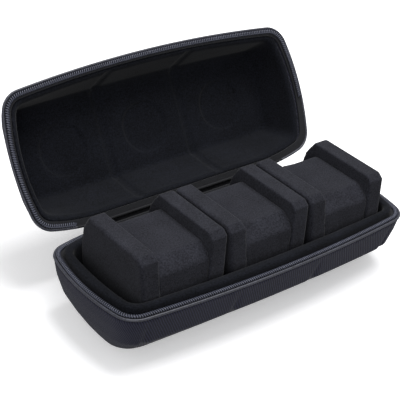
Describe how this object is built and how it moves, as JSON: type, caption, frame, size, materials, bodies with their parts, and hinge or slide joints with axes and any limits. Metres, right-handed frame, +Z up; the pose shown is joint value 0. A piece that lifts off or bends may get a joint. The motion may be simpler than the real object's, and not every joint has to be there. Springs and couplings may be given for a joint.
{
  "type": "watch travel case",
  "caption": "Moulded zip-up travel case that stands open, with soft lining, padded lips and removable cushions between raised flanges that hold watches.",
  "frame": {"origin": "centre of the flat underside of the base", "axes": "+X along the length to the end with the zip slider, -Y towards the front, +Z up; the fabric hinge runs along X at the back"},
  "size_m": [0.2698, 0.1982, 0.145],
  "materials": {
    "shell_cloth": "coarse twill over moulded foam",
    "lining": "short soft pile",
    "binding": "woven edge piping",
    "zip_tape": "woven tape",
    "zip_coil": "fine nylon coil",
    "zip_metal": "dark coated metal",
    "cushion_cloth": "speckled soft cloth"
  },
  "bodies": {
    "base": {"base_shell": "shell_cloth", "base_lining": "lining", "base_edge_binding": "binding", "base_zip_tape": "zip_tape", "base_zip_coil": "zip_coil", "zip_stop": "zip_metal", "hinge_base_flap": "shell_cloth", "hinge_fold": "shell_cloth"},
    "lid": {"lid_shell": "shell_cloth", "lid_lining": "lining", "lid_edge_binding": "binding", "lid_zip_tape": "zip_tape", "lid_zip_coil": "zip_coil", "hinge_lid_flap": "shell_cloth"},
    "slider": {"slider_body": "zip_metal"},
    "pull": {"pull_tab": "zip_metal"},
    "cushion_1": {"cushion_1_core": "cushion_cloth", "cushion_1_left_flange": "cushion_cloth", "cushion_1_right_flange": "cushion_cloth"},
    "cushion_2": {"cushion_2_core": "cushion_cloth", "cushion_2_left_flange": "cushion_cloth", "cushion_2_right_flange": "cushion_cloth"},
    "cushion_3": {"cushion_3_core": "cushion_cloth", "cushion_3_left_flange": "cushion_cloth", "cushion_3_right_flange": "cushion_cloth"}
  },
  "joints": [
    {"name": "lid_hinge", "type": "hinge", "parent": "base", "child": "lid", "pos_m": [0, 0.0576, 0.048], "axis": [-1, 0, 0], "range_deg": [-121, 0]},
    {"name": "slider_run", "type": "slide", "parent": "base", "child": "slider", "axis": [0.1583, -0.9874, 0], "range_m": [0, 0.009]},
    {"name": "pull_swing", "type": "hinge", "parent": "slider", "child": "pull", "pos_m": [0.1337, 0.03188, 0.0477], "axis": [0.1583, -0.9874, 0], "range_deg": [-8, 150]},
    {"name": "cushion_1_lift", "type": "slide", "parent": "base", "child": "cushion_1", "axis": [0, 0, 1], "range_m": [0, 0.08]},
    {"name": "cushion_2_lift", "type": "slide", "parent": "base", "child": "cushion_2", "axis": [0, 0, 1], "range_m": [0, 0.08]},
    {"name": "cushion_3_lift", "type": "slide", "parent": "base", "child": "cushion_3", "axis": [0, 0, 1], "range_m": [0, 0.08]}
  ]
}
